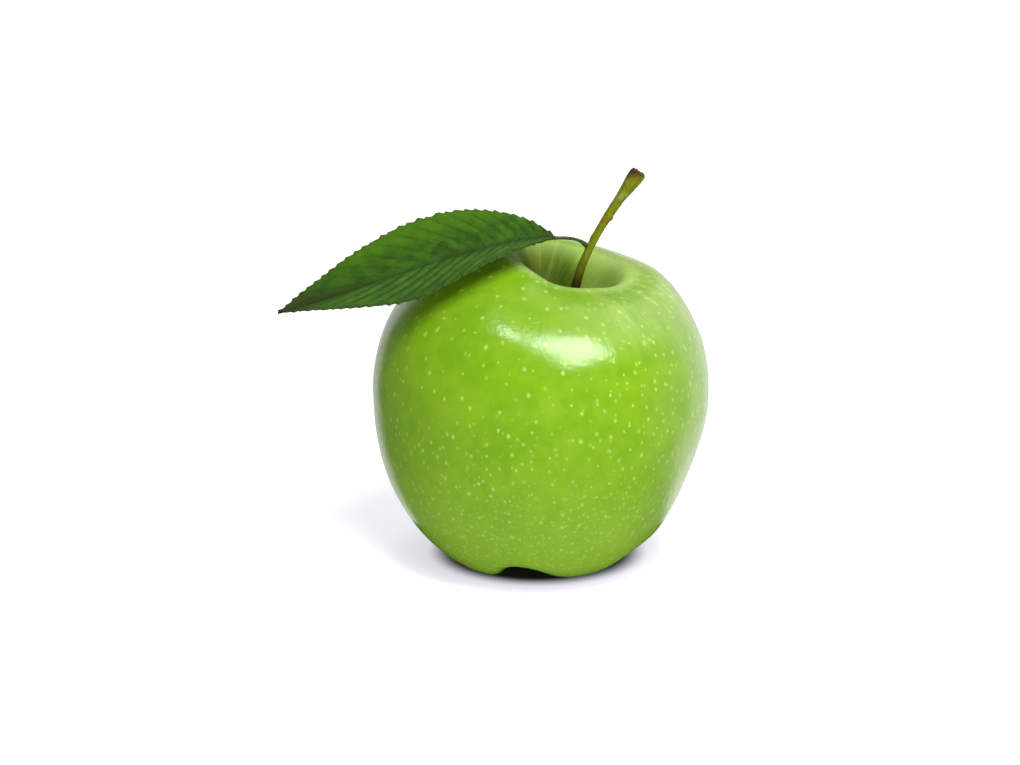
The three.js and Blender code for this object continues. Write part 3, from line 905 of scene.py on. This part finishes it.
def blade_material(settings, name, under):
    """The blade's upper face, or its paler and duller under face."""
    shader = Shader(name)
    point = shader.object_point()
    uv = shader.add("ShaderNodeUVMap", uv_map="UVMap").outputs["UV"]
    margin, cross_share = shader.split(uv)[:2]
    rib = shader.attribute("from_midrib")
    edge = shader.attribute("from_edge")
    near_side = shader.span(cross_share, 0.47, 0.53)

    veins = shader.math("FRACT", shader.math("MULTIPLY_ADD", margin, VEIN_PAIRS, 0.5))
    veins = shader.math("ABSOLUTE", shader.math("SUBTRACT", veins, 0.5))
    # Painted shade in the vein furrows, stronger on the near half.
    contrast = shader.span(near_side, 0.0, 1.0, 0.45, 1.0)
    furrow = shader.math("MULTIPLY", shader.span(veins, 0.24, 0.03), contrast)
    line = shader.math("MULTIPLY", shader.span(veins, 0.07, 0.02), contrast)

    mottle = shader.noise(point, 0.3, 3.0)
    grain = shader.noise(point, 2.4, 3.0)
    blade = shader.mix(shader.span(mottle, 0.35, 0.68), settings.dark_green, settings.light_green)
    blade = shader.mix(shader.span(grain, 0.4, 0.75, 0.0, 0.35), blade, colour(0.042, 0.115, 0.008))
    # Painted light: the far half paler towards its edge, as if lit through.
    painted_light_far_half = shader.span(rib, 3.0, 12.0)
    painted_light_far_half = shader.math("MULTIPLY", painted_light_far_half, shader.math("SUBTRACT", 1.0, near_side))
    blade = shader.mix(shader.math("MULTIPLY", painted_light_far_half, 0.55), blade, colour(0.055, 0.145, 0.004))
    # Painted sheen: the near half a little paler and bluer.
    blade = shader.mix(shader.math("MULTIPLY", near_side, 0.25), blade, colour(0.058, 0.14, 0.022))
    # Painted shade: the vein furrows and the lines along them darkened, less near the edge.
    fade = shader.span(edge, 0.3, 3.0)
    furrow = shader.math("MULTIPLY", furrow, fade)
    blade = shader.mix(shader.math("MULTIPLY", furrow, 0.5), blade, settings.dark_green)
    painted_vein_line_shade = shader.math("MULTIPLY", line, fade)
    blade = shader.mix(shader.math("MULTIPLY", painted_vein_line_shade, 0.6), blade, colour(0.014, 0.036, 0.005))
    middle = shader.span(rib, 1.6, 0.1)
    blade = shader.mix(shader.math("MULTIPLY", middle, 0.65), blade, colour(0.018, 0.03, 0.006))

    # A fine net between the side veins.
    net = shader.add("ShaderNodeTexVoronoi", {"Vector": point, "Scale": 1.6}, feature="DISTANCE_TO_EDGE")
    net = shader.span(net.outputs["Distance"], 0.09, 0.02)
    blade = shader.mix(shader.math("MULTIPLY", net, 0.22), blade, settings.dark_green)

    # Dark and dry towards the tip and on the points of the teeth.
    tip = shader.math("ADD", margin, shader.math("MULTIPLY", shader.math("SUBTRACT", mottle, 0.5), 0.12))
    tip = shader.span(tip, 0.82, 0.95)
    blade = shader.mix(shader.math("MULTIPLY", tip, 0.8), blade, colour(0.02, 0.03, 0.006))
    rim = shader.math("MULTIPLY", shader.span(edge, 0.7, 0.0), shader.span(grain, 0.3, 0.6, 0.4, 1.0))
    blade = shader.mix(shader.math("MULTIPLY", rim, 0.6), blade, colour(0.028, 0.036, 0.008))
    rough = 0.55
    if under:
        blade = shader.mix(0.55, blade, colour(0.2, 0.3, 0.12))
        pale = shader.math("MAXIMUM", line, shader.span(rib, 0.9, 0.3))
        blade = shader.mix(shader.math("MULTIPLY", pale, 0.6), blade, colour(0.3, 0.4, 0.16))
        rough = 0.7
    height = shader.math("SUBTRACT", shader.math("MULTIPLY", grain, 0.6), net)
    normal = shader.bump(height, 0.00012, 0.5)
    return shader.finish(
        Base_Color=blade,
        Roughness=rough,
        Normal=normal,
        Specular_IOR_Level=0.05,
    )


def make_sepal(turn, root):
    """A dried pointed tongue, wide at its root, that curls outwards and back."""
    curl = 0.3 * math.cos(3.0 * turn)
    tip = (1.0 + curl, 0.0, -SEPAL_LENGTH)
    route = Route(((0.9, 0.0, 0.3), (2.7, 0.0, -0.6), (3.1 + curl, 0.0, -2.4), tip))
    spin = Vector((math.cos(turn), math.sin(turn), 0.0))
    cross = Vector((-math.sin(turn), math.cos(turn), 0.0))

    def place(share, radius, angle):
        at = route.point(share)
        heading = route.heading(share)
        outwards = Vector((-heading.z, 0.0, heading.x))
        ripple = 0.12 * roughly((share * 5.0, math.sin(angle) * 2.0, turn * 4.0), 1.0)
        cup = 0.35 * (radius * math.sin(angle)) ** 2
        flat = at + outwards * (radius * 0.16 * math.cos(angle) - cup * 0.3 + ripple)
        across = cross * radius * 1.35 * math.sin(angle)
        return root + spin * flat.x + across + Vector((0.0, 0.0, flat.z))

    rows = [(0.0, 0.0)]
    for i in range(SEPAL_STEPS + 1):
        share = i / SEPAL_STEPS
        rows.append((share, max(math.sin(math.pi * (0.25 + 0.74 * share)), 0.05) ** 0.8))
    rows.append((1.0, 0.0))
    return rolled_bar("sepal", rows, SEPAL_SIDES, place)


def make_stamen(index, root):
    """A dried thread with a small head."""
    turn = index * 2.4
    reach = 0.35 + 0.75 * ((index * 0.618) % 1.0)
    bend = 0.5 * math.sin(index * 1.9)
    spin = Vector((math.cos(turn), math.sin(turn), 0.0))
    head = (reach * 0.8, bend, -2.0 - 0.8 * reach)
    route = Route(((0.3, 0.0, 1.2), (reach, 0.0, 0.0), (reach, bend, -1.2), head))

    def place(share, radius, angle):
        point = round_section(route, share, radius * math.cos(angle), radius * math.sin(angle))
        side = Vector((-spin.y, spin.x, 0.0))
        return root + spin * point.x + side * point.y + Vector((0.0, 0.0, point.z))

    rows = [(0.0, 0.0)]
    for i in range(STAMEN_STEPS + 1):
        share = i / STAMEN_STEPS
        rows.append((share, STAMEN_RADIUS * (1.0 + 1.3 * bell(share, 0.93, 0.06))))
    rows.append((1.0, 0.0))
    return rolled_bar("stamen", rows, STAMEN_SIDES, place)


def dry_material(name, settings):
    shader = Shader(name)
    point = shader.object_point()
    grain = shader.noise(point, 2.2, 4.0, 0.65)
    dry = shader.mix(shader.span(grain, 0.3, 0.7), colour(0.045, 0.028, 0.014), settings.dry_brown)
    grey = shader.noise(point, 0.9, 3.0)
    dry = shader.mix(shader.span(grey, 0.5, 0.7, 0.0, 0.5), dry, colour(0.26, 0.23, 0.16))
    return shader.finish(Base_Color=dry, Roughness=0.85, Normal=shader.bump(grain, 0.0002, 0.6))


def floor_material(settings):
    """White paper with a painted dark contact shadow under the fruit and a painted pale shadow round it.
    """
    shader = Shader("studio_floor")
    point = shader.object_point()
    aside = shader.vector("SUBTRACT", point, SHADOW_CENTRE)
    from_fruit = shader.length(shader.vector("MULTIPLY", aside, SHADOW_NARROWING))
    # Painted shadows: dark close under the fruit, pale and lavender a little further out.
    clear_of_painted_shadow = shader.span(from_fruit, SHADOW_DARK_TO, SHADOW_ENDS)
    beyond_painted_halo = shader.span(from_fruit, SHADOW_ENDS - 0.5, PALE_SHADOW_ENDS)
    grain = shader.span(shader.noise(point, 0.05, 2.0), 0.3, 0.7, 0.0, 0.1)
    white = shader.mix(grain, settings.floor_colour, colour(0.38, 0.38, 0.41))
    # The painted shadows darken the paper's colour, grey round the fruit and near black under it.
    white = shader.mix(beyond_painted_halo, colour(0.26, 0.26, 0.28), white)
    white = shader.mix(clear_of_painted_shadow, colour(0.03, 0.03, 0.02), white)
    # They also tint its glow lavender round the fruit and put it out under it.
    glow = shader.mix(beyond_painted_halo, colour(0.84, 0.82, 0.92), colour(0.93, 0.92, 0.98))
    return shader.finish(
        Base_Color=white,
        Roughness=0.7,
        Specular_IOR_Level=0.1,
        Emission_Color=shader.mix(clear_of_painted_shadow, colour(0.0, 0.0, 0.0), glow),
        Emission_Strength=settings.floor_glow,
    )


def painted_reflection_material():
    """Painted reflection: the floor's shade as the wax under the fruit mirrors it."""
    shader = Shader("floor_reflection")
    grain = shader.span(shader.noise(shader.object_point(), 0.2, 2.0), 0.3, 0.7)
    dark = shader.mix(grain, colour(0.03, 0.04, 0.01), colour(0.05, 0.07, 0.02))
    return shader.finish(Base_Color=dark, Roughness=0.9, Specular_IOR_Level=0.0)


class APPLE_OT_stage(bpy.types.Operator):
    """Adds the floor, the soft lights and the camera"""

    bl_idname = "apple.stage"
    bl_label = "Stage"

    def execute(self, context):
        settings = context.scene.apple_stage
        deselect_all()
        bpy.ops.mesh.primitive_circle_add(vertices=96, radius=FLOOR_RADIUS * MM, fill_type="NGON")
        floor = context.object
        floor.name = "studio_floor"
        floor.data.materials.append(floor_material(settings))
        floor.visible_glossy = False
        self.add_floor_reflection()
        self.add_surroundings(context.scene, settings)
        # These light the object and show in no reflection. Sizes are in metres.
        for name, direction, size, power in (
            ("key", (0.2, -0.42, 0.88), (0.4, 0.58), settings.key_power),
            ("fill", (0.22, -1.0, 0.12), (1.4, 0.16), settings.fill_power),
            ("side", (0.55, 0.7, 0.42), (0.9, 0.7), settings.side_power),
        ):
            self.add_light(name, Vector(direction), size, power).visible_glossy = False
        # These show in reflections alone, each at a set brightness.
        for name, direction, size, radiance in (
            ("softbox", (0.3, -0.32, 0.9), (0.46, 0.64), 22.5),
            ("window", (-0.2, -0.14, 0.97), (0.1, 0.07), 60.0),
            ("right_wall", (0.68, 0.72, -0.05), (0.7, 1.1), 1.2),
            ("back_wall", (-0.14, 0.94, -0.15), (1.0, 1.0), 0.85),
            ("ceiling", (0.55, 0.3, 0.78), (0.7, 0.7), 1.6),
        ):
            power = radiance * math.pi * size[0] * size[1]
            self.add_light(name, Vector(direction), size, power).visible_diffuse = False
        self.add_camera(context.scene)
        return {"FINISHED"}

    def add_floor_reflection(self):
        """Painted reflection: a dark disc for the floor's shade as the fruit's base mirrors it, seen in
        reflections only.
        """
        bpy.ops.mesh.primitive_circle_add(
            vertices=64, radius=REFLECTED_SHADOW_RADIUS * MM, fill_type="NGON"
        )
        shade = bpy.context.object
        shade.name = "floor_reflection"
        shade.data.transform(Matrix.Translation((FRUIT_X * MM, 0.0, -0.0001)))
        shade.visible_camera = shade.visible_diffuse = shade.visible_shadow = False
        shade.data.materials.append(painted_reflection_material())

    def add_surroundings(self, scene, settings):
        world = bpy.data.worlds.new("studio")
        world.use_nodes = True
        sky = world.node_tree.nodes["Background"]
        sky.inputs["Color"].default_value = (*settings.sky_colour, 1.0)
        sky.inputs["Strength"].default_value = settings.sky_strength
        scene.world = world
        scene.view_settings.view_transform = "Standard"
        scene.view_settings.look = "None"

    def add_light(self, name, direction, size, power):
        """A rectangular soft light that faces the fruit."""
        aim = Vector((FRUIT_X, 0.0, BELLY_HEIGHT)) * MM
        light = bpy.data.lights.new(name, "AREA")
        light.shape = "RECTANGLE"
        light.size, light.size_y = size
        light.energy = power
        light.color = LIGHT_COLOUR
        lamp = bpy.data.objects.new(name, light)
        lamp.location = aim + direction.normalized() * LIGHT_DISTANCE * MM
        lamp.rotation_euler = direction.to_track_quat("Z", "Y").to_euler()
        lamp.visible_camera = False
        bpy.context.scene.collection.objects.link(lamp)
        return lamp

    def add_camera(self, scene):
        lens = bpy.data.cameras.new("viewer")
        lens.lens = CAMERA_LENS
        lens.sensor_width = CAMERA_SENSOR
        camera = bpy.data.objects.new("viewer", lens)
        back = Vector((0.0, -math.cos(CAMERA_ELEVATION), math.sin(CAMERA_ELEVATION)))
        camera.location = (Vector(CAMERA_AIM) + back * CAMERA_DISTANCE) * MM
        camera.rotation_euler = (math.pi / 2.0 - CAMERA_ELEVATION, 0.0, 0.0)
        scene.collection.objects.link(camera)
        scene.camera = camera


class APPLE_OT_fruit(bpy.types.Operator):
    """Adds the fruit with its lobes, basin and stem hollow"""

    bl_idname = "apple.fruit"
    bl_label = "Fruit"

    def execute(self, context):
        settings = context.scene.apple_fruit
        waxy = skin_material(settings, "apple_skin", inside=False)
        dull = skin_material(settings, "apple_hollow", inside=True)
        finished(make_skin(), "apple", "apple_skin", waxy, dull)
        return {"FINISHED"}


class APPLE_OT_stem(bpy.types.Operator):
    """Adds the woody stem with its bud scar and torn end"""

    bl_idname = "apple.stem"
    bl_label = "Stem"

    def execute(self, context):
        finished(make_stem(), "stem", "stem_bark", stem_material(context.scene.apple_stem))
        return {"FINISHED"}


class APPLE_OT_leaf(bpy.types.Operator):
    """Adds the leaf's toothed blade and its thin stalk"""

    bl_idname = "apple.leaf"
    bl_label = "Leaf"

    def execute(self, context):
        settings = context.scene.apple_leaf
        upper = blade_material(settings, "leaf_upper_face", under=False)
        lower = blade_material(settings, "leaf_under_face", under=True)
        finished(make_blade(settings), "leaf", "leaf_blade", upper, lower)
        finished(make_stalk(), "leaf", "leaf_blade", stalk_material())
        return {"FINISHED"}


class APPLE_OT_calyx(bpy.types.Operator):
    """Adds the dried sepals and stamens in the basin underneath"""

    bl_idname = "apple.calyx"
    bl_label = "Calyx"

    def execute(self, context):
        settings = context.scene.apple_calyx
        root = skin_point(0.0, BASIN_HEIGHT, 0.0)
        root.z = BASIN_HEIGHT - GROUND_CUT - CALYX_DROP
        sepals = [make_sepal(2.0 * math.pi * (i + 0.3) / SEPALS, root) for i in range(SEPALS)]
        tongues = joined(sepals, "sepals")
        smooth(tongues, 60.0)
        finished(tongues, "calyx", "dried_calyx", dry_material("dried_sepal", settings))
        threads = joined([make_stamen(i, root) for i in range(STAMENS)], "stamens")
        smooth(threads, 60.0)
        finished(threads, "calyx", "dried_calyx", dry_material("dried_stamen", settings))
        return {"FINISHED"}


class APPLE_PT_panel(bpy.types.Panel):
    """The apple's pieces and their settings"""

    bl_idname = "APPLE_PT_panel"
    bl_label = "Green Apple"
    bl_space_type = "VIEW_3D"
    bl_region_type = "UI"
    bl_category = "Apple"

    def draw(self, context):
        for operator, group in BUILT_IN_ORDER:
            column = self.layout.column(align=True)
            column.operator(operator.bl_idname)
            settings = getattr(context.scene, group)
            for name in settings.__annotations__:
                column.prop(settings, name)


BUILT_IN_ORDER = (
    (APPLE_OT_stage, "apple_stage"),
    (APPLE_OT_fruit, "apple_fruit"),
    (APPLE_OT_stem, "apple_stem"),
    (APPLE_OT_leaf, "apple_leaf"),
    (APPLE_OT_calyx, "apple_calyx"),
)
SETTINGS = {
    "apple_stage": StageSettings,
    "apple_fruit": FruitSettings,
    "apple_stem": StemSettings,
    "apple_leaf": LeafSettings,
    "apple_calyx": CalyxSettings,
}


def register():
    for group, settings in SETTINGS.items():
        bpy.utils.register_class(settings)
        setattr(bpy.types.Scene, group, PointerProperty(type=settings))
    for operator, _ in BUILT_IN_ORDER:
        bpy.utils.register_class(operator)
    bpy.utils.register_class(APPLE_PT_panel)


def unregister():
    bpy.utils.unregister_class(APPLE_PT_panel)
    for operator, _ in reversed(BUILT_IN_ORDER):
        bpy.utils.unregister_class(operator)
    for group, settings in SETTINGS.items():
        delattr(bpy.types.Scene, group)
        bpy.utils.unregister_class(settings)


def main():
    register()
    bpy.ops.apple.stage()
    bpy.ops.apple.fruit()
    bpy.ops.apple.stem()
    bpy.ops.apple.leaf()
    bpy.ops.apple.calyx()


if __name__ == "__main__":
    main()
